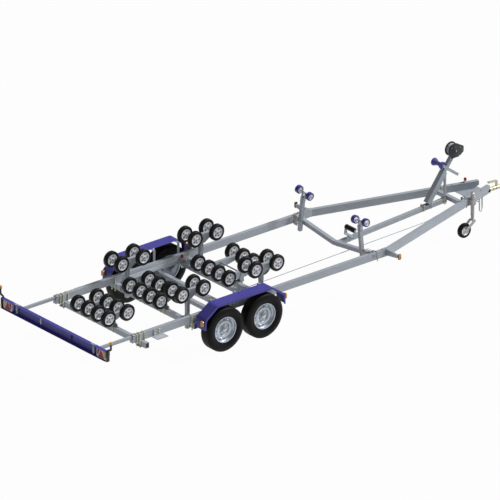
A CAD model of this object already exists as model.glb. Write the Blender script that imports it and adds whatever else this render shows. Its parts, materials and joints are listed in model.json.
import json
from math import cos, pi, radians, sin

import bmesh
import bpy
from mathutils import Euler, Matrix, Vector


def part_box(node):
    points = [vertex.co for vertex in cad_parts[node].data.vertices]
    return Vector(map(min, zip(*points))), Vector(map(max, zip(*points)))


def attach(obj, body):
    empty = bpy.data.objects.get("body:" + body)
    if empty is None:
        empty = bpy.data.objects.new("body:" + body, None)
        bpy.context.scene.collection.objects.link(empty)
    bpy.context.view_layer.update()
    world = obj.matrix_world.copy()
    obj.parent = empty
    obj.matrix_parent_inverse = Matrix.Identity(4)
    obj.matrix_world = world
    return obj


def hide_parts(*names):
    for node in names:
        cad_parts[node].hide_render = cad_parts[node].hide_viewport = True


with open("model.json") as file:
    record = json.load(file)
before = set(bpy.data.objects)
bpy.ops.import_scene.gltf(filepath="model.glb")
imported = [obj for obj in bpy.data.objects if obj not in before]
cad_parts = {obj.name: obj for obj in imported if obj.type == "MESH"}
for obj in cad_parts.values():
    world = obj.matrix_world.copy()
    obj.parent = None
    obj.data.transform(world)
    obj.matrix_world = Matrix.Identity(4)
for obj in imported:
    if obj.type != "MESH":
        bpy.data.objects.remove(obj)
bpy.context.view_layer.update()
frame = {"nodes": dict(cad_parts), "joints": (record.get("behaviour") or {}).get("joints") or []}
nodes = frame["nodes"]

# Tandem boat trailer, in metres. +X forward to the coupling, +Y to its left, +Z up.

MM = 0.001
SIDES = (("left", 1), ("right", -1))
BOTH = (1, -1)
ENDS = ("rear", "front")


def middle(node):
    """Centre of a solid's box."""
    low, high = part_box(node)
    return (low + high) / 2


def half(node):
    """Half of a solid's size along each axis."""
    low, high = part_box(node)
    return (high - low) / 2


def joint_place(name):
    """Where a joint's axis passes."""
    return Vector(next(j["pos_m"] for j in frame["joints"] if j["name"] == name))


# ---- finishes

def new_node(tree, kind, **values):
    """A node with its settings and inputs. An input may be another node's output, which is then linked."""
    made = tree.nodes.new(kind)
    for name, value in values.items():
        label = name.replace("_", " ")
        if isinstance(value, bpy.types.NodeSocket):
            tree.links.new(value, made.inputs[label])
        elif hasattr(made, name):
            setattr(made, name, value)
        else:
            made.inputs[label].default_value = value
    return made


def maths(tree, operation, *terms):
    """Result of an operation on numbers or other nodes' outputs."""
    made = new_node(tree, "ShaderNodeMath", operation=operation)
    for socket, term in zip(made.inputs, terms):
        if isinstance(term, bpy.types.NodeSocket):
            tree.links.new(term, socket)
        else:
            socket.default_value = term
    return made.outputs["Value"]


def rgb(colour, factor=1.0):
    return tuple(min(1.0, channel * factor) for channel in colour) + (1.0,)


def two_tones(tree, factor, dark, light, low, high):
    """Colour between two tones as factor goes from low to high."""
    ramp = new_node(tree, "ShaderNodeValToRGB", Fac=factor)
    for end, colour, position in zip(ramp.color_ramp.elements, (dark, light), (low, high)):
        end.position, end.color = position, colour
    return ramp.outputs["Color"]


def finish(name, colour, grain, spread, roughness, metallic, bump, cells=False, soil=0.12, soil_scale=1.5,
           coat=0.0, shine=0.5):
    """Surface with a fine grain, a slow change of tone and a roughness that wanders with it."""
    made = bpy.data.materials.new(name)
    made.use_nodes = True
    tree = made.node_tree
    place = new_node(tree, "ShaderNodeTexCoord").outputs["Object"]
    if cells:
        spangle = new_node(tree, "ShaderNodeTexVoronoi", Vector=place, Scale=grain, Randomness=1.0)
        fine = new_node(tree, "ShaderNodeSeparateColor", Color=spangle.outputs["Color"]).outputs["Red"]
    else:
        noise = new_node(tree, "ShaderNodeTexNoise", Vector=place, Scale=grain, Detail=4.0, Roughness=0.6)
        fine = noise.outputs["Fac"]
    noise = new_node(tree, "ShaderNodeTexNoise", Vector=place, Scale=soil_scale, Detail=5.0, Roughness=0.65)
    slow = noise.outputs["Fac"]
    grained = two_tones(tree, fine, rgb(colour, 1 - spread), rgb(colour, 1 + spread), 0.15, 0.85)
    soiled = two_tones(tree, slow, rgb((1 - soil,) * 3), rgb((1.0,) * 3), 0.28, 0.6)
    mixed = new_node(tree, "ShaderNodeMix", data_type="RGBA", blend_type="MULTIPLY", Factor=1.0, A=grained,
                     B=soiled)
    rough = new_node(tree, "ShaderNodeMapRange", Value=slow, To_Min=roughness + 0.08, To_Max=roughness - 0.06)
    relief = new_node(tree, "ShaderNodeBump", Strength=bump, Distance=0.0006, Height=fine)
    shader = tree.nodes["Principled BSDF"]
    for label, source in (("Base Color", mixed.outputs["Result"]), ("Roughness", rough.outputs["Result"]),
                          ("Normal", relief.outputs["Normal"])):
        tree.links.new(source, shader.inputs[label])
    for label, value in (("Metallic", metallic), ("Coat Weight", coat), ("Specular IOR Level", shine)):
        shader.inputs[label].default_value = value
    return made


# name, colour, fineness of the grain, spread of tone, roughness, metallic, bump
GALVANISED = finish("hot dip galvanised steel", (0.43, 0.47, 0.52), 70.0, 0.05, 0.46, 0.25, 0.05,
    cells=True, soil=0.08)
DARK_STEEL = finish("weathered galvanised steel", (0.36, 0.39, 0.43), 70.0, 0.05, 0.50, 0.25, 0.05,
    cells=True)
ZINC = finish("yellow passivated zinc", (0.72, 0.69, 0.46), 260.0, 0.07, 0.36, 0.35, 0.04,
    soil=0.16, soil_scale=9.0)
BLUE = finish("blue enamel", (0.062, 0.054, 0.34), 420.0, 0.03, 0.46, 0.0, 0.02, coat=0.05, soil=0.10)
DRUM = finish("grey blue drum enamel", (0.34, 0.38, 0.47), 300.0, 0.04, 0.42, 0.1, 0.05,
    soil=0.18, soil_scale=7.0)
SILVER = finish("silver rim enamel", (0.58, 0.64, 0.72), 900.0, 0.06, 0.30, 0.40, 0.02,
    soil=0.08, soil_scale=6.0)
CHROME = finish("bright hub cap", (0.62, 0.63, 0.65), 120.0, 0.02, 0.18, 0.8, 0.01, soil=0.06)
TYRE = finish("tyre rubber", (0.0050, 0.0050, 0.0054), 600.0, 0.25, 0.50, 0.0, 0.25,
    soil=0.25, soil_scale=5.0, shine=0.16)
ROLLER = finish("roller rubber", (0.0080, 0.0080, 0.0085), 520.0, 0.2, 0.42, 0.0, 0.15,
    soil=0.2, soil_scale=12.0, shine=0.25)
HUB_WHITE = finish("moulded roller hub", (0.88, 0.89, 0.92), 380.0, 0.03, 0.42, 0.0, 0.05,
    soil=0.06, soil_scale=14.0)
HUB_SHADE = finish("shaded hub recess", (0.25, 0.26, 0.29), 380.0, 0.05, 0.6, 0.0, 0.05,
    soil=0.10, soil_scale=14.0)
STEEL_BOLT = finish("bright steel bolt", (0.55, 0.56, 0.58), 160.0, 0.05, 0.34, 0.6, 0.03,
    soil=0.12, soil_scale=20.0)
PALE_ZINC = finish("pale zinc plate", (0.56, 0.54, 0.555), 150.0, 0.05, 0.42, 0.15, 0.04,
    soil=0.14, soil_scale=16.0)
RED_CAP = finish("red grip plastic", (0.45, 0.02, 0.03), 500.0, 0.08, 0.35, 0.0, 0.05,
    soil=0.10, soil_scale=12.0)
BLUE_ROLLER = finish("blue roller plastic", (0.105, 0.098, 0.42), 300.0, 0.05, 0.36, 0.0, 0.05,
    soil=0.12, soil_scale=11.0)
DEEP_BLUE = finish("deep blue roller plastic", (0.050, 0.046, 0.31), 300.0, 0.05, 0.36, 0.0, 0.05,
    soil=0.12, soil_scale=11.0)
BLACK = finish("black moulded plastic", (0.030, 0.032, 0.034), 700.0, 0.2, 0.50, 0.0, 0.2,
    soil=0.2, soil_scale=9.0)
STRAP = finish("winch strap webbing", (0.47, 0.51, 0.56), 900.0, 0.14, 0.8, 0.0, 0.5,
    soil=0.1, soil_scale=10.0)
LAMP_RED = finish("red lamp lens", (0.30, 0.006, 0.010), 200.0, 0.1, 0.30, 0.0, 0.05, soil=0.1, shine=0.3)
LAMP_AMBER = finish("amber lamp lens", (0.78, 0.40, 0.07), 200.0, 0.08, 0.20, 0.0, 0.05, coat=0.3, soil=0.1)
LAMP_WHITE = finish("white lamp panel", (0.86, 0.85, 0.84), 200.0, 0.03, 0.30, 0.0, 0.04, soil=0.06)


def paint(material, *names):
    """Gives solids of the frame a finish."""
    for name in names:
        data = nodes[name].data
        data.materials.clear()
        data.materials.append(material)


# ---- mesh helpers

def placed(name, data):
    """A new object in the scene."""
    made = bpy.data.objects.new(name, data)
    bpy.context.scene.collection.objects.link(made)
    return made


UPWARDS = (pi / 2, 0, 0)    # stands up a shape that was made along Y


def mm(*corners):
    """Corners or points given in millimetres."""
    return [tuple(value * MM for value in corner) for corner in corners]


def mesh_from(vertices, faces):
    data = bpy.data.meshes.new("shape")
    data.from_pydata([tuple(v) for v in vertices], [], faces)
    data.update()
    return data


def written(work, data=None):
    """Ends an edit: its result in a mesh, new or given."""
    data = data or bpy.data.meshes.new("shape")
    work.to_mesh(data)
    work.free()
    return data


def tidied(data, smooth_angle=35):
    """Outward faces, one vertex at each corner, and smooth shading up to an angle."""
    work = bmesh.new()
    work.from_mesh(data)
    bmesh.ops.remove_doubles(work, verts=work.verts, dist=1e-5)
    bmesh.ops.recalc_face_normals(work, faces=work.faces)
    for face in work.faces:
        face.smooth = True
    for edge in work.edges:
        edge.smooth = len(edge.link_faces) == 2 and edge.calc_face_angle(0) < radians(smooth_angle)
    return written(work, data)


def revolved(profile, segments):
    """Ring about the Y axis from corners (radius, distance along Y), closed on the axis at radius 0."""
    count = len(profile)
    vertices = []
    for step in range(segments):
        turn = 2 * pi * step / segments
        vertices += [(r * sin(turn), y, r * cos(turn)) for r, y in profile]
    faces = []
    for step in range(segments):
        this, after = step * count, (step + 1) % segments * count
        for k in range(count):
            follow = (k + 1) % count
            if profile[k][0] < 1e-9 and profile[follow][0] < 1e-9:
                continue
            faces.append((this + k, this + follow, after + follow, after + k))
    return tidied(mesh_from(vertices, faces))


def mirrored_profile(upper):
    """A closed profile from its half, mirrored in Y."""
    return upper + [(radius, -y) for radius, y in reversed(upper)]


def prism(corners, low, high, axis="Y"):
    """Straight sided body from corners in the plane across an axis, between two places along it."""
    def lifted(a, b, along):
        return {"Y": (a, along, b), "X": (along, a, b), "Z": (a, b, along)}[axis]
    count = len(corners)
    vertices = [lifted(a, b, low) for a, b in corners] + [lifted(a, b, high) for a, b in corners]
    faces = [tuple(range(count)), tuple(range(2 * count - 1, count - 1, -1))]
    faces += [(k, (k + 1) % count, count + (k + 1) % count, count + k) for k in range(count)]
    return tidied(mesh_from(vertices, faces))


def slab(low, high, edge=1.5 * MM):
    """Plate or block between two corners, with its edges broken."""
    low, high = Vector(low), Vector(high)
    work = bmesh.new()
    bmesh.ops.create_cube(work, size=1.0)
    size = Matrix.Diagonal(((high - low).x, (high - low).y, (high - low).z, 1.0))
    bmesh.ops.transform(work, matrix=Matrix.Translation((low + high) / 2) @ size, verts=work.verts)
    bmesh.ops.bevel(work, geom=list(work.edges), offset=edge, segments=2, profile=0.5, affect="EDGES")
    return tidied(written(work), 25)


def block(low, high, edge=1.5):
    """A slab given in millimetres."""
    return slab(*mm(low, high), edge * MM)


def eased(data, offset, segments=2):
    """The shape with its sharp edges rounded over."""
    work = bmesh.new()
    work.from_mesh(data)
    bmesh.ops.remove_doubles(work, verts=work.verts, dist=1e-5)
    sharp = [edge for edge in work.edges
             if len(edge.link_faces) == 2 and edge.calc_face_angle(0) > radians(32)]
    bmesh.ops.bevel(work, geom=sharp, offset=offset, segments=segments, profile=0.5, affect="EDGES",
                    clamp_overlap=True)
    return tidied(written(work), 30)


def rounded(width, height, radius, steps=5, centre=(0.0, 0.0)):
    """Corners of a rectangle with round corners."""
    corners = []
    for quarter, (sx, sy) in enumerate(((1, 1), (-1, 1), (-1, -1), (1, -1))):
        for step in range(steps + 1):
            turn = (quarter + step / steps) * pi / 2
            corners.append((centre[0] + sx * (width / 2 - radius) + radius * cos(turn),
                            centre[1] + sy * (height / 2 - radius) + radius * sin(turn)))
    return corners


def pipe(points, radius, sides=10):
    """Round rod along points, closed at its ends."""
    points = [Vector(p) for p in points]
    rings = []
    side = None
    for k, point in enumerate(points):
        back = point - points[k - 1] if k else points[1] - point
        ahead = points[k + 1] - point if k + 1 < len(points) else back
        along = (back.normalized() + ahead.normalized()).normalized()
        if side is None:
            side = along.orthogonal().normalized()
        side = (side - along * side.dot(along)).normalized()
        other = along.cross(side)
        rings.append([point + (side * cos(2 * pi * s / sides) + other * sin(2 * pi * s / sides)) * radius
                      for s in range(sides)])
    vertices = [v for ring in rings for v in ring]
    faces = []
    for k in range(len(rings) - 1):
        for s in range(sides):
            after = (s + 1) % sides
            faces.append((k * sides + s, k * sides + after, (k + 1) * sides + after, (k + 1) * sides + s))
    faces += [tuple(range(sides))[::-1], tuple(range(len(vertices) - sides, len(vertices)))]
    return tidied(mesh_from(vertices, faces))


def joined(parts):
    """One mesh from several."""
    work = bmesh.new()
    for data in parts:
        work.from_mesh(data)
    return written(work)


def moved(data, x=0.0, y=0.0, z=0.0, turn=(0.0, 0.0, 0.0)):
    """A copy of a mesh, turned and then moved."""
    copy = data.copy()
    copy.transform(Matrix.Translation((x, y, z)) @ Euler(turn).to_matrix().to_4x4())
    return copy


def piece(name, data, material, body, slot, *replaced):
    """A finished piece that rides on a body."""
    data.materials.clear()
    data.materials.append(material)
    made = placed(name, data)
    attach(made, body)
    if replaced:
        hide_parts(*replaced)
    return made


# ---- Geometry Nodes

def repeat_tree():
    """A shape at every point of a mesh, turned by the point's turn attribute and given a finish."""
    tree = bpy.data.node_groups.new("repeat at places", "GeometryNodeTree")
    tree.interface.new_socket("Geometry", in_out="OUTPUT", socket_type="NodeSocketGeometry")
    for label, kind in (("Geometry", "Geometry"), ("Shape", "Object"), ("Finish", "Material")):
        tree.interface.new_socket(label, in_out="INPUT", socket_type="NodeSocket" + kind)
    given = new_node(tree, "NodeGroupInput").outputs
    shape = new_node(tree, "GeometryNodeObjectInfo", Object=given["Shape"])
    turn = new_node(tree, "GeometryNodeInputNamedAttribute", data_type="FLOAT_VECTOR", Name="turn")
    copies = new_node(tree, "GeometryNodeInstanceOnPoints", Points=given["Geometry"],
                      Instance=shape.outputs["Geometry"], Rotation=turn.outputs["Attribute"])
    real = new_node(tree, "GeometryNodeRealizeInstances", Geometry=copies.outputs["Instances"])
    coat = new_node(tree, "GeometryNodeSetMaterial", Geometry=real.outputs["Geometry"],
                    Material=given["Finish"])
    new_node(tree, "NodeGroupOutput", Geometry=coat.outputs["Geometry"])
    return tree


REPEAT = repeat_tree()
REPEAT_KEYS = {item.name: item.identifier for item in REPEAT.interface.items_tree if item.in_out == "INPUT"}


def repeated(shape, places, material):
    """Mesh of a shape at each place, which is a point or a (point, turn) pair."""
    places = [place if len(place) == 2 else (place, (0, 0, 0)) for place in places]
    start = mesh_from([point for point, turn in places], [])
    turns = start.attributes.new("turn", "FLOAT_VECTOR", "POINT")
    for k, (point, turn) in enumerate(places):
        turns.data[k].vector = turn
    carrier = placed("carrier", start)
    modifier = carrier.modifiers.new("shape", "NODES")
    modifier.node_group = REPEAT
    modifier[REPEAT_KEYS["Shape"]] = bpy.data.objects.new("pattern", shape)
    modifier[REPEAT_KEYS["Finish"]] = material
    seen = bpy.context.evaluated_depsgraph_get()
    made = bpy.data.meshes.new_from_object(carrier.evaluated_get(seen))
    carrier.modifiers.clear()
    bpy.data.objects.remove(carrier)
    return made


def both(*points):
    """Each point and its mirror image on the trailer's other side."""
    return [(x, side * y, z) for x, y, z in points for side in BOTH]


def at_places(name, shape, places, material, body, slot, *replaced):
    """One piece with shape at each place."""
    return piece(name, repeated(shape, places, material), material, body, slot, *replaced)


def ring_of(shape, count, radius, centre, material):
    """Mesh of a ring of shapes about an axle, each facing outwards."""
    places = []
    for k in range(count):
        angle = 2 * pi * k / count
        point = Vector(centre) + Vector((radius * cos(angle), 0, radius * sin(angle)))
        places.append((point, (0, pi / 2 - angle, 0)))
    return repeated(shape, places, material)


# ---- small fasteners, given in millimetres

def sideways(side):
    """Turn of a bolt that faces out of the left or the right side."""
    return (-side * pi / 2, 0, 0)


def hexagon(across, height):
    """Nut or bolt head standing on Z = 0, with a chamfered top."""
    corner, height = across * MM / 2 / cos(pi / 6), height * MM
    rings = [(corner, 0.0), (corner, height * 0.82), (corner * 0.86, height)]
    vertices = [(r * cos(k * pi / 3), r * sin(k * pi / 3), z) for r, z in rings for k in range(6)]
    faces = [tuple(range(6))[::-1], tuple(range(12, 18))]
    for level in (0, 6):
        faces += [(level + k, level + (k + 1) % 6, level + 6 + (k + 1) % 6, level + 6 + k) for k in range(6)]
    return tidied(mesh_from(vertices, faces), 20)


def disc(radius, height, segments=20):
    """Washer or boss standing on Z = 0."""
    steps = [2 * pi * k / segments for k in range(segments)]
    return prism(mm(*[(radius * cos(a), radius * sin(a)) for a in steps]), 0.0, height * MM, "Z")


def bolt(across, height):
    """Bolt head on its washer."""
    return joined([disc(across * 0.82, 2), moved(hexagon(across, height), z=2 * MM)])


def tall_bolt(across, height, radius, length):
    """Bolt whose end stands up through its nut."""
    return joined([bolt(across, height), disc(radius, length)])


def spindle(half_length, radius, across=0, height=0, inset=0, segments=20):
    """Pin along Y, with a nut near each end if a size is given. Only its half length is in metres."""
    parts = [revolved(mirrored_profile([(0.0, half_length), (radius * MM, half_length)]), segments)]
    if across:
        nut = hexagon(across, height)
        parts += [moved(nut, y=side * (half_length - inset * MM), turn=sideways(side)) for side in BOTH]
    return joined(parts)


def u_bolt(depth, width=61, thick=5.5, tail=26):
    """U-bolt over a tube: its back on top at Z = 0, its legs down past depth. Only the depth is in metres."""
    reach = (width / 2 + thick) * MM
    thick, tail = thick * MM, tail * MM
    bend = 3 * thick
    curve = [(bend * cos(t * pi / 8), bend * sin(t * pi / 8)) for t in range(5)]
    path = [(0, -reach, -depth - tail), (0, -reach, -bend)]
    path += [(0, -reach + bend - across, thick - bend + up) for across, up in curve]
    path += [(0, reach - bend + up, thick - bend + across) for across, up in curve]
    path += [(0, reach, -bend), (0, reach, -depth - tail)]
    nuts = [moved(hexagon(19, 9), y=side * reach, z=-depth - 15 * MM) for side in BOTH]
    return joined([pipe(path, thick, 8)] + nuts)


# ==== finishes of the frame's solids

def starting(start):
    return [name for name in nodes if name.startswith(start)]


paint(GALVANISED, "side_rail_left", "side_rail_right", "cross_beams", "centre_tube", "torsion_axles",
      "roller_posts", "light_bar_arms", "side_arms", "support_posts", "winch_post", "overrun_body",
      "step_plates", *starting("rocker_"))
paint(DARK_STEEL, "mudguard_brackets", "brake_rod")
paint(PALE_ZINC, "jockey_clamp", "jockey_leg")
paint(DRUM, "brake_drums")
paint(BLUE, "mudguards", "light_bar")
paint(SILVER, *starting("rim_"))
paint(TYRE, *starting("tyre_"))
paint(ROLLER, "keel_roller", "jockey_wheel", *starting("rollers_"))
paint(DEEP_BLUE, "support_rollers_left", "support_rollers_right")
paint(BLUE_ROLLER, "bow_roller")
paint(ZINC, "coupling_head")
paint(BLACK, "marker_stalks", "winch_frame")
paint(LAMP_RED, "tail_lamps")
paint(LAMP_AMBER, "side_lamps")
paint(STRAP, "winch_drum")

# finish, body and slot of the pieces that are fixed to the frame
ZINCED = (ZINC, "chassis", "zinc_plate")
BRIGHT = (STEEL_BOLT, "chassis", "zinc_plate")
PALE = (PALE_ZINC, "chassis", "zinc_plate")
PLAIN = (GALVANISED, "chassis", "galvanised_steel")
DARK = (DARK_STEEL, "chassis", "galvanised_steel")
BLACKED = (BLACK, "chassis", "black_plastic")
AMBER = (LAMP_AMBER, "chassis", "lamp_amber")

# ==== wheels

TREAD_COUNT = 64
GROOVE = 7 * MM
WHEEL_BOLTS = 5
BOLT_CIRCLE = 56 * MM


def tyre_profile(radius, half_width, bead, bead_half):
    """Half section of the tyre from its bead to its crown, with two grooves in the tread."""
    edge = half_width * 0.74
    corners = [
        (bead + 3 * MM, bead_half - 14 * MM), (bead + 2 * MM, bead_half),
        (bead + 14 * MM, bead_half + 4 * MM), (bead + 34 * MM, half_width * 0.93),
        (bead + 56 * MM, half_width), (bead + 82 * MM, half_width * 0.985),
        (radius - 32 * MM, half_width * 0.94), (radius - 18 * MM, half_width * 0.87),
        (radius - 8 * MM, half_width * 0.80), (radius - 3.5 * MM, edge)]
    for groove in (edge * 0.62, edge * 0.22):
        top = radius - 2 * MM * groove / edge
        floor = top - 7 * MM
        corners += [(top, groove + GROOVE / 2), (floor, groove + GROOVE * 0.35),
                    (floor, groove - GROOVE * 0.35), (top, groove - GROOVE / 2)]
    return corners


def tread_lug(length, width, height):
    """Block of the tread's shoulder, slanted, standing up along Z."""
    slant = length * 0.35
    return prism([(-length / 2, -width / 2), (length / 2, -width / 2), (length / 2 + slant, width / 2),
                  (-length / 2 + slant, width / 2)], -2 * MM, height, "Z")


CAP = mm((0, 12), (14, 11), (26, 7), (33, 0), (36, -2), (36, -12), (0, -12))


def wheel_pieces(name, side):
    """Tyre with its tread, wheel bolts and hub cap of one wheel."""
    body = f"wheel_{name}"
    centre = middle(f"tyre_{name}")
    size = half(f"tyre_{name}")
    rim = half(f"rim_{name}")

    def beside(offset):
        return centre + Vector((0, offset, 0))

    profile = mirrored_profile(tyre_profile(size.z, size.y, rim.z, rim.y - 6 * MM))
    lug = tread_lug(0.7 * 2 * pi * size.z / TREAD_COUNT, 19 * MM, 2.5 * MM)
    rows = [ring_of(lug, TREAD_COUNT, size.z - 4.5 * MM, beside(row * size.y * 0.62), TYRE) for row in BOTH]
    tyre = joined([moved(revolved(profile, 96), *centre)] + rows)
    piece(f"{body}_tyre", tyre, TYRE, body, "tyre", f"tyre_{name}")
    stud = moved(bolt(19, 14), turn=sideways(side))
    studs = ring_of(stud, WHEEL_BOLTS, BOLT_CIRCLE, beside(side * (rim.y - 50 * MM)), STEEL_BOLT)
    piece(f"{body}_bolts", studs, STEEL_BOLT, body, "zinc_plate")
    cap = revolved([(r, side * y) for r, y in CAP], 32)
    piece(f"{body}_cap", moved(cap, *beside(side * (rim.y - 10 * MM))), CHROME, body, "zinc_plate")


for wheel_end in ENDS:
    for wheel_name, wheel_side in SIDES:
        wheel_pieces(f"{wheel_end}_{wheel_name}", wheel_side)

# ==== rollers of the bogies

ROLLER_HALF = 31.5 * MM
HUB_RADIUS = 79 * MM
RECESSES = 5
RECESS_RADIUS = 14 * MM
RECESS_CIRCLE = 48 * MM
ROLLER_GAP = 225 * MM
CENTRE_LINE = 220 * MM    # Y of the middle bogies' pivots
ROWS_SIDE = (-ROLLER_GAP / 2, ROLLER_GAP / 2)
ROWS_CENTRE = [side * CENTRE_LINE + row for side in (-1, 1) for row in ROWS_SIDE]


def roller_tyre(radius):
    """Rubber tread of a roller, crowned, with a raised rib at each edge."""
    return revolved(mirrored_profile([
        (HUB_RADIUS, ROLLER_HALF - 2 * MM), (HUB_RADIUS + 4 * MM, ROLLER_HALF),
        (radius - 12 * MM, ROLLER_HALF), (radius - 5 * MM, ROLLER_HALF - 2 * MM),
        (radius - 1 * MM, ROLLER_HALF - 7 * MM), (radius, ROLLER_HALF * 0.5)]), 48)


def roller_hub():
    """Moulded hub: a rim, a web set back from it and a boss."""
    return revolved(mirrored_profile([
        (14 * MM, ROLLER_HALF + 1 * MM), (27 * MM, ROLLER_HALF + 1 * MM), (30 * MM, ROLLER_HALF - 4 * MM),
        (HUB_RADIUS - 11 * MM, ROLLER_HALF - 4 * MM), (HUB_RADIUS - 8 * MM, ROLLER_HALF),
        (HUB_RADIUS, ROLLER_HALF)]), 48)


def hub_hollows():
    """Floors of the round hollows of a hub and the rings about its shaft, on both faces."""
    recess = revolved([(0.0, 2.2 * MM), (RECESS_RADIUS - 1.5 * MM, 2.2 * MM), (RECESS_RADIUS, 1.2 * MM),
                       (RECESS_RADIUS, -2 * MM), (0.0, -2 * MM)], 18)
    core = revolved(mm((11, 0), (17, 0), (17, 1.5), (11, 1.5)), 24)
    parts = []
    for facing in (-1, 1):
        outwards = Matrix.Scale(facing, 4, (0, 1, 0))
        floor, ring = recess.copy(), core.copy()
        floor.transform(outwards)
        ring.transform(Matrix.Translation((0, facing * (ROLLER_HALF + 0.5 * MM), 0)) @ outwards)
        middle_of_ring = (0, facing * (ROLLER_HALF - 4.5 * MM), 0)
        parts += [ring_of(tidied(floor), RECESSES, RECESS_CIRCLE, middle_of_ring, HUB_SHADE), tidied(ring)]
    return joined(parts)


def roller_set(body):
    """The rollers on one shaft: rubber, hubs with their hollows, shaft with its nuts."""
    centre = middle(body)
    size = half(body)
    rows = ROWS_CENTRE if body.startswith("rollers_centre") else ROWS_SIDE
    places = [(centre.x, centre.y + row, centre.z) for row in rows]
    at_places(f"{body}_rubber", roller_tyre(size.z), places, ROLLER, body, "roller_rubber", body)
    at_places(f"{body}_hubs", roller_hub(), places, HUB_WHITE, body, "roller_rubber")
    at_places(f"{body}_hub_hollows", hub_hollows(), places, HUB_SHADE, body, "roller_rubber")
    shaft = spindle(size.y, 11, 24, 11, 13)
    piece(f"{body}_shaft", moved(shaft, *centre), DARK_STEEL, body, "galvanised_steel")


for roller_body in sorted(starting("rollers_")):
    roller_set(roller_body)

# ==== clamps and bolts of the frame

RAIL_LOW, RAIL_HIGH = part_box("side_rail_left")
RAIL_OUT = RAIL_HIGH.y
RAIL_LINE = RAIL_OUT - 30 * MM    # middle of a rail's straight run
RAIL_IN = RAIL_OUT - 60 * MM
RAIL_TOP = RAIL_HIGH.z
RAIL_UNDER = RAIL_LOW.z
RAIL_DEEP = RAIL_TOP - RAIL_UNDER
BEAM_DEEP = 80 * MM
BEAMS = (-3.251, -2.335, -1.625, -1.025)    # X of the cross beams under the rails
BEAM_Z = RAIL_UNDER - BEAM_DEEP / 2
POSTS = [joint_place(f"rocker_{end}_left_rock") for end in ENDS]


def on_rails(*distances):
    """Places on top of both rails at some distances along X."""
    return both(*[(x, RAIL_LINE, RAIL_TOP) for x in distances])


CLAMP_REACH = 38 * MM    # from a clamp's middle to each of its U-bolts
rail_bow = u_bolt(RAIL_DEEP + BEAM_DEEP)
under = -RAIL_DEEP - BEAM_DEEP
rear_clamp = [moved(rail_bow, x=side * CLAMP_REACH) for side in BOTH]
rear_clamp += [slab((-52 * MM, -52.5 * MM, under - 6 * MM), (52 * MM, 52.5 * MM, under))]
at_places("rear_rail_clamps", joined(rear_clamp), on_rails(BEAMS[0]), *ZINCED)
at_places("rail_clamps", rail_bow, on_rails(BEAMS[1] - CLAMP_REACH, BEAMS[3] - CLAMP_REACH), *ZINCED)

post_bow = moved(u_bolt(112 * MM, 81, tail=22), turn=(pi / 2, 0, -pi / 2))
post_bows = [(post.x - 86 * MM, side * post.y + reach * CLAMP_REACH, BEAM_Z)
             for post in POSTS for side in BOTH for reach in BOTH]
at_places("post_clamps", post_bow, post_bows, *PLAIN)
post_strips = both(*[(post.x + 25.2 * MM, post.y, BEAM_Z) for post in POSTS])
at_places("post_clamp_strips", block((0, -52, -58), (6, 52, 58)), post_strips, *PLAIN)

fork_bow = moved(u_bolt(BEAM_DEEP + 8 * MM, thick=4.5, tail=22), turn=(pi, 0, pi / 2))
fork_places = [(x, side * CENTRE_LINE + reach * 47 * MM, RAIL_UNDER)
               for x in (BEAMS[0], BEAMS[1], BEAMS[3]) for side in BOTH for reach in BOTH]
at_places("fork_clamps", fork_bow, [(x, y, z - BEAM_DEEP) for x, y, z in fork_places], *ZINCED)
at_places("fork_clamp_strips", block((-50, -16, 0), (50, 16, 7)), fork_places, *PLAIN)

# ---- bolts of the mudguards and the step plates

GUARD_LOW, GUARD_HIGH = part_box("mudguards")
STRAPS = [(GUARD_LOW.x + GUARD_HIGH.x) / 2 + reach * 430 * MM for reach in (-1, 0, 1)]
STEP_X = middle("step_plates").x


def in_rail_sides(distances, heights, out=6.2 * MM):
    """Places of bolts that face out of the rails' outer sides, or of a plate that lies on them."""
    return [((x, side * (RAIL_OUT + out), z), sideways(side)) for x in distances for side in BOTH
            for z in heights]


guard_bolts = both(*[(x, GUARD_HIGH.y - inset * MM, GUARD_HIGH.z) for x in STRAPS for inset in (60, 140)])
at_places("mudguard_bolts", bolt(11, 4), guard_bolts, BLUE, "chassis", "blue_paint")
strap_bolts = in_rail_sides(STRAPS, (RAIL_UNDER + 45 * MM, RAIL_TOP - 25 * MM))
at_places("strap_bolts", bolt(17, 8), strap_bolts, *ZINCED)
step_bolts = in_rail_sides((STEP_X - 40 * MM, STEP_X + 40 * MM), (RAIL_UNDER + 40 * MM, RAIL_TOP - 22 * MM))
at_places("step_bolts", bolt(17, 8), step_bolts, *ZINCED)

# ---- end plates of the rails, with the clamps of the arms that slide in them

REAR_END = RAIL_LOW.x
end_plate = joined([
    slab((-5 * MM, -36 * MM, RAIL_UNDER - 4 * MM), (0, 36 * MM, RAIL_UNDER + 52 * MM)),
    slab((0, -36 * MM, RAIL_TOP), (48 * MM, 36 * MM, RAIL_TOP + 6 * MM))])
at_places("rail_end_plates", end_plate, both((REAR_END, RAIL_LINE, 0)), *PLAIN)
arm_clamps = on_rails(REAR_END + 70 * MM, REAR_END + 118 * MM)
at_places("arm_clamps", u_bolt(RAIL_DEEP, tail=24), arm_clamps, *ZINCED)
arm_screws = both(*[(REAR_END + x * MM, RAIL_LINE, RAIL_TOP + lift * MM) for x, lift in ((26, 6), (180, 0))])
at_places("arm_clamp_screws", tall_bolt(17, 12, 5, 26), arm_screws, *ZINCED)

# ==== lighting bar: lamps, clips, end caps and marker stalks

BAR_LOW, BAR_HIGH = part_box("light_bar")
BAR_END = BAR_HIGH.y
BAR_WEB = BAR_HIGH.x - 3 * MM    # rear face of its web
BAR_Z = (BAR_LOW.z + BAR_HIGH.z) / 2
LAMP_Y = BAR_END - 107 * MM
LAMP_DEEP = 34 * MM
# corners of the tail lamps' lenses, in millimetres
WINDOW = ((-80, 46), (-80, -30), (-74, -38), (-68, -36), (-32, 38), (-38, 50), (-74, 50))
TRIANGLE = ((-62, -56.56), (62, -56.56), (0, 60))


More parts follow.
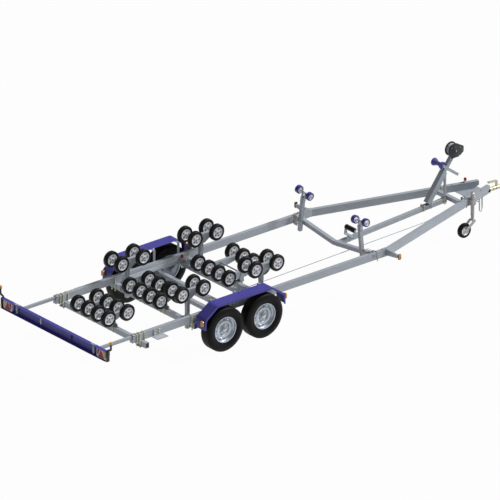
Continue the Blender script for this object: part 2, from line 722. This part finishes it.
def lens(corners, low, high):
    """Flat lens that faces rearwards, from corners in millimetres, between two depths."""
    return eased(prism(mm(*corners), -high, -low, "X"), 1.2 * MM, 1)


def tail_lamp(name, side):
    """White panel with a red triangle, a red window beside it and an amber one across from it."""
    panel = eased(prism(rounded(192 * MM, 134 * MM, 26 * MM), -LAMP_DEEP, 0.0, "X"), 1.5 * MM, 1)
    red, amber = [lens([(turn * side * a, b) for a, b in WINDOW], LAMP_DEEP - 2 * MM, LAMP_DEEP + 4 * MM)
                  for turn in (1, -1)]
    red = [lens(TRIANGLE, LAMP_DEEP - 1 * MM, LAMP_DEEP + 5 * MM), red]
    red += [block((-39.5, 7.5 * (k - 5.8), -45), (-37, 7.5 * (k - 5.2), -39), 0.5) for k in range(12)]
    for label, data, material, slot in (
            ("frame", panel, LAMP_WHITE, "lamp_red"), ("red", joined(red), LAMP_RED, "lamp_red"),
            ("amber", amber, LAMP_AMBER, "lamp_amber")):
        stands_for = ["tail_lamps"] if (name, label) == ("left", "frame") else []
        data = moved(data, BAR_WEB, side * LAMP_Y, BAR_Z)
        piece(f"tail_lamp_{name}_{label}", data, material, "light_bar", slot, *stands_for)


for bar_name, bar_side in SIDES:
    tail_lamp(bar_name, bar_side)

# ---- clamp strips beside the lamps, over the arms, and clips on the web

strip = [block((-22, -17, -66), (0, 17, 66)), block((-44, -46, 75), (-8, 50, 80))]
strip += [block((-26, -17, z - 5), (-20, 17, z + 5), 1) for z in range(-50, 51, 20)]
strip += [moved(bolt(17, 10), -26 * MM, y, 80 * MM) for y in (-30 * MM, 34 * MM)]
strips = both((BAR_WEB, RAIL_LINE, BAR_Z))
at_places("bar_clamp_strips", joined(strip), strips, GALVANISED, "light_bar", "galvanised_steel")
web_clip = joined([block((-9, -13, -44), (0, 13, 44)), block((-15, -9, -16), (-8, 9, 16))])
piece("bar_clip_light", moved(web_clip, BAR_WEB, 325 * MM, BAR_Z), LAMP_WHITE, "light_bar", "lamp_red")
piece("bar_clip_dark", moved(web_clip, BAR_WEB, -338 * MM, BAR_Z), BLACK, "light_bar", "black_plastic")

# ---- end caps and the bent stalks of the marker lamps

STALK_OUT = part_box("marker_stalks")[1].y - 26 * MM
STALK_X = BAR_HIGH.x - 14 * MM
STALK_LENS = mm((0, 0), (18, 0), (24, 10), (25, 30), (19, 38), (0, 40))


def bar_end(name, side):
    """End cap of the lighting bar, a bent stalk on it, and the amber lenses of both."""
    def across(start, stop):
        return sorted((side * (BAR_END + start * MM), side * (BAR_END + stop * MM)))

    top, low = BAR_HIGH.z, BAR_LOW.z
    (cap_in, cap_out), (foot_in, foot_out) = across(0, 34), across(-2, 38)
    line, tip = side * (BAR_END + 18 * MM), side * STALK_OUT
    bent = [(line, -30), (line, 4), (line + side * 8 * MM, 18), (tip - side * 12 * MM, 30), (tip, 46),
            (tip, 118)]
    cap = [slab((BAR_LOW.x + 8 * MM, cap_in, low - 3 * MM),
                (BAR_HIGH.x + 3 * MM, cap_out, top + 3 * MM), 4 * MM),
           slab((BAR_HIGH.x - 34 * MM, foot_in, top - 66 * MM),
                (BAR_HIGH.x + 4 * MM, foot_out, top - 10 * MM), 5 * MM),
           pipe([(STALK_X, y, top + z * MM) for y, z in bent], 15 * MM, 14),
           moved(disc(20, 12, 24), STALK_X, tip, top + 108 * MM)]
    piece(f"marker_stalk_{name}", joined(cap), BLACK, "light_bar", "black_plastic",
          *(["marker_stalks"] if name == "left" else []))
    side_lens = prism(rounded(26 * MM, 40 * MM, 8 * MM, centre=(side * (BAR_END + 17 * MM), low + 44 * MM)),
                      BAR_LOW.x, BAR_LOW.x + 16 * MM, "X")
    top_lens = moved(revolved(STALK_LENS, 24), STALK_X, tip, top + 118 * MM, turn=UPWARDS)
    lenses = joined([top_lens, eased(side_lens, 3 * MM)])
    piece(f"marker_lens_{name}", lenses, LAMP_AMBER, "light_bar", "lamp_amber")


for bar_name, bar_side in SIDES:
    bar_end(bar_name, bar_side)

# ==== side marker lamps

ARM = middle("side_arms")
ARM_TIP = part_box("side_arms")[1].y


def marker_lamp(width, height, depth):
    """Small lamp that faces +Y from its base at Y = 0: lens and base."""
    corner = 0.28 * min(width, height)
    face = eased(prism(rounded(width * 0.86, height * 0.88, corner * 0.85), 4 * MM, depth, "Y"), 3 * MM)
    ribs = [slab((width * share - 1.5 * MM, depth - 1 * MM, -height * 0.3),
                 (width * share + 1.5 * MM, depth + 1 * MM, height * 0.3), 0.6 * MM)
            for share in (-0.3, -0.15, 0.0, 0.15, 0.3)]
    base = eased(prism(rounded(width, height, corner), 0.0, 6 * MM, "Y"), 1 * MM)
    return joined([face] + ribs), base


arm_lens, arm_base = marker_lamp(50 * MM, 88 * MM, 20 * MM)
arm_lamps = [((ARM.x, side * (ARM_TIP + 0.2 * MM), ARM.z), (0, 0, 0 if side > 0 else pi)) for side in BOTH]
at_places("side_arm_lenses", arm_lens, arm_lamps, *AMBER, "side_lamps")
at_places("side_arm_lamp_bases", arm_base, arm_lamps, *BLACKED)
guard_lens, guard_base = marker_lamp(54 * MM, 92 * MM, 34 * MM)
guard_lamps = [((x, side * (GUARD_HIGH.y - 32 * MM), GUARD_LOW.z + 104 * MM), (0, 0, turn)) for side in BOTH
               for x, turn in ((GUARD_HIGH.x - 0.5 * MM, -pi / 2), (GUARD_LOW.x + 0.5 * MM, pi / 2))]
at_places("guard_lenses", guard_lens, guard_lamps, *AMBER)
at_places("guard_lamp_bases", guard_base, guard_lamps, *BLACKED)

# ==== winch

WINCH = joint_place("winch_drum_spin")
CHEEK = 104 * MM
FRAME_LOW, FRAME_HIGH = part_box("winch_frame")


def cheek(low, high, nose):
    """Cheek of the winch: round, drawn out to a blunt nose ahead of the drum."""
    arc = [(CHEEK * cos(radians(a)), CHEEK * sin(radians(a))) for a in range(62, 300, 10)]
    corners = arc + [(nose * 0.62, -CHEEK * 0.90), (nose, -CHEEK * 0.48), (nose, CHEEK * 0.30)]
    return eased(prism([(WINCH.x + a, WINCH.z + b) for a, b in corners], low, high), 4 * MM)


left_cheek = mm((0, 0), (104, 0), (104, 4), (101, 6), (30, 6), (26, 12), (0, 12))
right_boss = mm((0, 0), (60, 0), (56, -7), (26, -9), (22, -16), (0, -16))
winch_shell = joined([
    cheek(-67 * MM, -37 * MM, FRAME_HIGH.x - WINCH.x),
    moved(revolved(left_cheek, 48), WINCH.x, 37 * MM, WINCH.z),
    moved(revolved(right_boss, 40), WINCH.x, -67 * MM, WINCH.z),
    moved(block((-40, -40, 4), (92, 40, 18), 3), WINCH.x, 0, FRAME_LOW.z)])
piece("winch_frame_shell", winch_shell, *BLACKED, "winch_frame")
ties = [((WINCH.x + x * MM, -67 * MM, WINCH.z + z * MM), UPWARDS)
        for x, z in ((84, 24), (62, -74), (118, -20), (-66, 52))]
at_places("winch_bolts", bolt(10, 6), ties, DARK_STEEL, "chassis", "zinc_plate")
turns = [(81 + 2.5 * (k % 2), -33 + k * 66 / 8) for k in range(9)]
strap = revolved(mm((12, 33), (12, -33), *turns), 48)
piece("winch_strap", moved(strap, *WINCH), STRAP, "winch_drum", "strap", "winch_drum")
winch_spindle = joined([
    revolved(mm((0, -84), (11, -84), (11, 54), (0, 54)), 20),
    moved(hexagon(24, 10), y=-82 * MM, turn=sideways(-1)),
    moved(hexagon(24, 10), y=50 * MM, turn=sideways(1))])
piece("winch_spindle", moved(winch_spindle, *WINCH), DARK_STEEL, "winch_drum", "zinc_plate")

# ==== bow roller, support rollers and keel roller

BOW = joint_place("bow_roller_spin")
bow_shape = mm((12, 98), (22, 98), (24, 90), (44, 90), (47, 99), (52, 100), (57, 96), (58, 88), (54, 76),
               (45, 56), (36, 34), (31, 16))
bow_cones = moved(revolved(mirrored_profile(bow_shape), 48), *BOW)
piece("bow_roller_cones", bow_cones, BLUE_ROLLER, "bow_roller", "blue_roller", "bow_roller")
bow_pin = spindle(half("bow_roller").y, 11, 24, 9, 5)
piece("bow_roller_pin", moved(bow_pin, *BOW), DARK_STEEL, "bow_roller", "zinc_plate")

SUPPORT_LEAN = radians(7.2)
SUPPORT_REACH = 115 * MM    # from a support's pivot to each of its rollers
support_tyre = revolved(mirrored_profile(
    mm((42, 29), (45, 30), (52, 30), (58, 27), (60, 21), (60, 8), (58.5, 6), (58.5, 2))), 40)
support_hub = revolved(mirrored_profile(mm((11, 33), (19, 33), (23, 24), (36, 21), (39, 28), (42.5, 28))), 40)
for support_name, side in SIDES:
    body = f"support_rollers_{support_name}"
    lie = Matrix.Translation(joint_place(f"{body}_spin")) @ Matrix.Rotation(side * SUPPORT_LEAN, 4, "X")
    tyres, hubs = [joined([moved(shape, y=reach * SUPPORT_REACH) for reach in BOTH])
                   for shape in (support_tyre, support_hub)]
    for label, data, *rest in (
            ("tyres", tyres, DEEP_BLUE, body, "blue_roller", body),
            ("hubs", hubs, HUB_WHITE, body, "roller_rubber"),
            ("rod", spindle(153 * MM, 11, 22, 9, 10), STEEL_BOLT, body, "zinc_plate")):
        data.transform(lie)
        piece(f"{body}_{label}", data, *rest)

KEEL = joint_place("keel_roller_spin")
keel_shape = mm((8, 95), (30, 95), (33, 94), (36, 89))
for groove in range(77, 16, -15):
    keel_shape += mm((36, groove + 2), (34, groove), (36, groove - 2))
keel_tube = moved(revolved(mirrored_profile(keel_shape), 40), *KEEL)
piece("keel_roller_tube", keel_tube, ROLLER, "keel_roller", "roller_rubber", "keel_roller")
keel_pin = spindle(half("keel_roller").y, 8, segments=16)
piece("keel_roller_pin", moved(keel_pin, *KEEL), ZINC, "keel_roller", "zinc_plate")

# ==== jockey wheel

JOCKEY = joint_place("jockey_wheel_spin")
jockey_tyre = mirrored_profile(mm((64, 29.5), (68, 32.5), (90, 32.5), (101, 28.5), (106, 20.5), (107.5, 12.5),
                                  (107.5, 5), (105.5, 3)))
jockey_rim = mirrored_profile(mm((8, 35), (19, 35), (21, 22), (34, 18), (52, 20), (57, 28), (62, 31),
                                 (65, 31)))
piece("jockey_tyre", moved(revolved(jockey_tyre, 56), *JOCKEY), TYRE, "jockey_wheel", "tyre", "jockey_wheel")
piece("jockey_rim", moved(revolved(jockey_rim, 56), *JOCKEY), HUB_WHITE, "jockey_wheel", "rim_paint")
jockey_pin = spindle(half("jockey_wheel").y, 8, 19, 7, 6, segments=16)
piece("jockey_pin", moved(jockey_pin, *JOCKEY), ZINC, "jockey_wheel", "zinc_plate")

# ==== carriers, gussets and adjusters between the rails and the axles

AXLE_TUBES = (-1.874, -1.176)    # X of the torsion axles' tubes
CARRIER_ENDS = (-2.225, -1.052)    # X of the folded plates' ends
# section of a folded plate in millimetres, from the rail's inner top edge
CARRIER_FOLD = ((0, -12), (0, -44), (-38, -92), (-38, -99), (-42, -99), (-42, -90), (-5, -43), (-5, -12))
GUSSET_Y = 779 * MM
FRONT_GRIP = Vector((3.386, 0.166, RAIL_TOP))
REAR_GRIP = Vector((-1.206, RAIL_IN - 34 * MM, RAIL_TOP - 36 * MM))


def carrier_plate(side):
    """Folded plate inside a rail: an upright flange and a sloping ledge."""
    corners = [(side * (RAIL_IN - 0.3 * MM + a * MM), RAIL_TOP + b * MM) for a, b in CARRIER_FOLD]
    return eased(prism(corners, *CARRIER_ENDS, "X"), 1 * MM, 1)


def near(place, x, y, z):
    """A point some millimetres away from a place."""
    return place + Vector((x, y, z)) * MM


piece("axle_carriers", joined([carrier_plate(side) for side in BOTH]), *PLAIN)
gusset = eased(prism(mm((-70, 0), (70, 0), (34, -88), (-34, -88)), 0.0, 5 * MM), 1 * MM, 1)
gussets = [(x, side * (GUSSET_Y + 3 * MM) - 2.5 * MM, RAIL_UNDER - 0.5 * MM) for x in AXLE_TUBES
           for side in BOTH]
at_places("axle_gussets", gusset, gussets, *ZINCED)
gusset_bolts = [((x + reach * 46 * MM, side * GUSSET_Y, RAIL_UNDER - 16 * MM), sideways(-side))
                for x in AXLE_TUBES for side in BOTH for reach in BOTH]
at_places("gusset_bolts", bolt(15, 8), gusset_bolts, *BRIGHT)
grip = moved(revolved(mm((0, 0), (17, 0), (21, 6), (21, 32), (15, 42), (0, 44)), 24), turn=UPWARDS)
grips = joined([moved(grip, *near(FRONT_GRIP, 0, 0, 26)), moved(grip, *REAR_GRIP)])
piece("red_grips", grips, RED_CAP, "chassis", "lamp_red")
stems = [moved(disc(12, 6), *FRONT_GRIP), moved(disc(6, 30), *FRONT_GRIP),
         slab(near(REAR_GRIP, -10, -10, -8), near(REAR_GRIP, 10, 34, 0))]
piece("grip_stems", joined(stems), *ZINCED)
elbow = ((0, -2, -4), (22, -6, -14), (44, -12, -34), (58, -16, -58), (64, -18, -92))
elbow = pipe([near(REAR_GRIP, *point) for point in elbow], 7 * MM)
piece("adjuster_elbow", elbow, LAMP_WHITE, "chassis", "lamp_red")

# ---- rods that hold the rear guard lamps

bends = ((20, RAIL_OUT + 1 * MM, -34), (18, RAIL_OUT + 40 * MM, -40), (18, GUARD_HIGH.y - 78 * MM, -52))
rods = [pipe([(GUARD_LOW.x + x * MM, side * y, RAIL_TOP + z * MM) for x, y, z in bends], 4.5 * MM, 8)
        for side in BOTH]
piece("guard_lamp_rods", joined(rods), *BRIGHT)

# ---- pins of the outer rockers

pivots = [joint_place(f"rocker_{end}_{name}_rock") for end in ENDS for name, side in SIDES]
pin_nuts = [(near(pivot, 0, reach * 31, 0), sideways(reach)) for pivot in pivots for reach in BOTH]
at_places("rocker_pin_nuts", joined([disc(17, 2.5), hexagon(24, 12)]), pin_nuts, *ZINCED)

# ==== front of the frame: centre tube, V-shaped beam, nose beam, winch post

FOOT = Vector((2.535, 0.0, 0.510))    # where the winch post meets the centre tube
KEEL_SLOPE = 0.0560
FRONT_TURN = 0.191    # how far the rails turn in towards the coupling, in radians
VEE_X = 887 * MM    # where the V-shaped beam passes under the rails
POST_Y, POST_Z = (722 * MM, 764 * MM), (478 * MM, 580 * MM)    # bolts of the support posts' clamps


def along_centre(drop, *distances):
    """Places along the sloping centre tube, from the winch post's foot."""
    return [(FOOT.x + x * MM, 0.0, FOOT.z + drop * MM + x * MM * KEEL_SLOPE) for x in distances]


foot_bow = moved(u_bolt(68 * MM, thick=5, tail=22), turn=(pi, 0, 0))
at_places("winch_foot_clamps", foot_bow, along_centre(-60, -56, 76), *ZINCED)
at_places("centre_tube_clamps", u_bolt(62 * MM, thick=5, tail=20), along_centre(3, 304, 334), *ZINCED)
nose_bolts = both((2.909, 0.292, RAIL_TOP), (2.941, 0.292, RAIL_TOP))
at_places("nose_beam_bolts", bolt(17, 8), nose_bolts, *BRIGHT)
front_bolts = both((3.195, 0.223, RAIL_TOP), (3.381, 0.187, RAIL_TOP))
at_places("rail_front_bolts", bolt(15, 8), front_bolts, *DARK)
rail_front = [((3.020, side * 0.2569, RAIL_TOP), (0, 0, -side * FRONT_TURN)) for side in BOTH]
at_places("rail_front_clamps", u_bolt(RAIL_DEEP), rail_front, *ZINCED)
at_places("vee_beam_clamps", u_bolt(RAIL_DEEP), on_rails(VEE_X + 56 * MM), *ZINCED)
wings = [((VEE_X + x * MM, side * (RAIL_IN + 16 * MM), RAIL_TOP), (0, 0, side * 0.5)) for x in (-42, 10)
         for side in BOTH]
at_places("vee_beam_wings", joined([disc(9, 22), block((-22, -4, 14), (22, 4, 30))]), wings, *DARK)
post_plate = [block((796, 704, 452), (806, 782, 606))]
for y in POST_Y:
    for z in POST_Z:
        post_plate += [pipe([(786 * MM, y, z), (905 * MM, y, z)], 6 * MM),
                       moved(hexagon(19, 9), 796 * MM, y, z, turn=(0, -pi / 2, 0))]
post_plates = joined(post_plate)
for post_name, side in SIDES:
    plates = post_plates.copy()
    plates.transform(Matrix.Scale(side, 4, (0, 1, 0)))
    piece(f"support_post_clamp_{post_name}", tidied(plates), *PALE)
vee_bolts = in_rail_sides((VEE_X - 17 * MM, VEE_X + 17 * MM), (RAIL_TOP - 34 * MM,), 0.2 * MM)
at_places("vee_beam_bolts", bolt(19, 10), vee_bolts, *DARK)

# ---- roots of the side arms

for arm_name, side in SIDES:
    web = [(RAIL_OUT - 54 * MM, RAIL_TOP), (RAIL_OUT - 54 * MM, RAIL_TOP + 5 * MM),
           (RAIL_OUT + 24 * MM, RAIL_TOP + 5 * MM), (ARM_TIP - 14 * MM, ARM.z + 26 * MM),
           (ARM_TIP - 14 * MM, ARM.z - 22 * MM), (RAIL_OUT + 0.3 * MM, RAIL_UNDER + 14 * MM),
           (RAIL_OUT + 0.3 * MM, RAIL_TOP)]
    root = [prism([(side * y, z) for y, z in web], ARM.x - 24 * MM, ARM.x - 18 * MM, "X"),
            moved(block((-78, -27, -0.5), (52, 27, 5)), ARM.x, side * (RAIL_OUT - 29 * MM), RAIL_TOP)]
    piece(f"side_arm_gusset_{arm_name}", joined(root), *PLAIN)
root_bolts = both(*[(ARM.x + x * MM, RAIL_OUT - 12 * MM, RAIL_TOP) for x in (-14, 14)])
at_places("arm_root_bolts", bolt(15, 8), root_bolts, *BRIGHT)

# ==== coupling: boot, clamp bolts and the loop under the hand brake lever

BOOT_FROM, BOOT_TO, BOOT_RIDGES = 3.626, 3.684, 5
COUPLING_Z = 415 * MM
boot_side = [(24 * MM, BOOT_FROM), (35 * MM, BOOT_FROM)]
for k in range(BOOT_RIDGES):
    crest = BOOT_FROM + (k + 0.5) * (BOOT_TO - BOOT_FROM) / BOOT_RIDGES
    boot_side += [(36.5 * MM, crest - 4 * MM), (41 * MM, crest), (36.5 * MM, crest + 4 * MM)]
boot = revolved(boot_side + [(35 * MM, BOOT_TO), (24 * MM, BOOT_TO)], 40)
piece("coupling_boot", tidied(moved(boot, z=COUPLING_Z, turn=(0, 0, -pi / 2))), *BLACKED)
nipples = [(x, 0.0, COUPLING_Z + 33.5 * MM) for x in (3.30, 3.42, 3.58)]
at_places("overrun_nipples", tall_bolt(15, 9, 4, 18), nipples, *BRIGHT)
head_bolts = [((3.80, side * 30 * MM, COUPLING_Z), sideways(side)) for side in BOTH]
at_places("head_bolts", bolt(19, 10), head_bolts, *BRIGHT)
LOOP = Vector((3.475, -0.0395, 0.152))
loop = pipe([near(LOOP, x, 0, z) for x, z in ((0, 24), (6, 8), (20, 0), (36, 8), (48, 46))], 6 * MM)
piece("lever_loop", loop, *BRIGHT)

# ==== jockey wheel's clamp

TUBE = Vector((JOCKEY.x + 150 * MM, JOCKEY.y, 0.0))
bow = moved(u_bolt(34 * MM, 56, 5, 20), turn=(pi / 2, pi / 2, 0))
at_places("jockey_clamp_bows", bow, [near(TUBE, 0, -28, z) for z in (462, 558)], *PALE)
plate = moved(block((-95, -6, -58), (95, 6, 58), 2), *near(TUBE, 0, 32, 507), turn=(0, 0, FRONT_TURN))
piece("jockey_clamp_plate", plate, *PALE)
cap = revolved(mm((0, 0), (30, 0), (31, 3), (31, 12), (27, 16), (12, 17), (10, 26), (0, 27)), 32)
piece("jockey_cap", moved(cap, *near(TUBE, 0, 0, 627), turn=UPWARDS), *BRIGHT)
handle = [pipe([near(TUBE, *start), near(TUBE, *stop)], 6 * MM)
          for start, stop in (((40, -34, 508), (66, -60, 508)), ((66, -60, 470), (66, -60, 546)))]
piece("jockey_clamp_handle", joined(handle), *BRIGHT)

# ==== stage: floor, light and camera

SUN_TOWARDS = Vector((0.68, -0.24, 0.72))
SUN_STRENGTH = 3.3
SUN_ANGLE = radians(12)
SKY = 0.26
FLOOR_REACH = 60.0
FLOOR_GREY = 0.42
FLOOR_GLOW = 0.97    # share of the floor that shows as plain white
CAMERA_LOOK = Vector((0.5773, 0.7025, -0.4163))
CAMERA_AT = Vector((-0.216, 0.498, 0.451))
CAMERA_DISTANCE = 320.0
PICTURE_SPAN = 6.918    # metres across the picture at the middle of the view


def greatest(tree, first, *others):
    """The greatest of several outputs of a light path."""
    for other in others:
        first = maths(tree, "MAXIMUM", first, other)
    return first


def two_ways(tree, output, factor, hidden, seen):
    """One shader for light that only bounces and another for what the camera sees."""
    blend = new_node(tree, "ShaderNodeMixShader", Fac=factor)
    for socket, shader in zip(list(blend.inputs)[1:], (hidden, seen)):
        tree.links.new(shader.outputs[0], socket)
    new_node(tree, output, Surface=blend.outputs[0])


def lay_floor():
    material = bpy.data.materials.new("pale floor")
    material.use_nodes = True
    tree = material.node_tree
    tree.nodes.clear()
    path = new_node(tree, "ShaderNodeLightPath").outputs
    seen = greatest(tree, path["Is Camera Ray"], path["Is Glossy Ray"], path["Is Transmission Ray"])
    matt = new_node(tree, "ShaderNodeBsdfDiffuse", Color=(FLOOR_GREY,) * 3 + (1.0,))
    glow = new_node(tree, "ShaderNodeEmission", Color=(1.0,) * 4, Strength=1.0)
    two_ways(tree, "ShaderNodeOutputMaterial", maths(tree, "MULTIPLY", seen, FLOOR_GLOW), matt, glow)
    corners = [(x * FLOOR_REACH, y * FLOOR_REACH, 0) for x, y in ((-1, -1), (1, -1), (1, 1), (-1, 1))]
    data = mesh_from(corners, [(0, 1, 2, 3)])
    data.materials.append(material)
    placed("floor", data)


def light_sky():
    world = bpy.data.worlds.new("soft sky")
    world.use_nodes = True
    bpy.context.scene.world = world
    tree = world.node_tree
    tree.nodes.clear()
    path = new_node(tree, "ShaderNodeLightPath").outputs
    seen = greatest(tree, path["Is Camera Ray"], path["Is Transmission Ray"])
    lit, white = [new_node(tree, "ShaderNodeBackground", Color=(1.0,) * 4, Strength=strength)
                  for strength in (SKY, 1.0)]
    two_ways(tree, "ShaderNodeOutputWorld", seen, lit, white)


def light_sun():
    data = bpy.data.lights.new("sun", "SUN")
    data.energy = SUN_STRENGTH
    data.angle = SUN_ANGLE
    placed("sun", data).rotation_euler = SUN_TOWARDS.to_track_quat("Z", "Y").to_euler()


def set_camera():
    data = bpy.data.cameras.new("camera")
    data.sensor_width = 36.0
    data.lens = data.sensor_width * CAMERA_DISTANCE / PICTURE_SPAN
    data.clip_end = 1000.0
    camera = placed("camera", data)
    camera.location = CAMERA_AT - CAMERA_LOOK * CAMERA_DISTANCE
    camera.rotation_euler = CAMERA_LOOK.to_track_quat("-Z", "Y").to_euler()
    bpy.context.scene.camera = camera


lay_floor()
light_sky()
light_sun()
set_camera()
bpy.context.scene.view_settings.view_transform = "Standard"
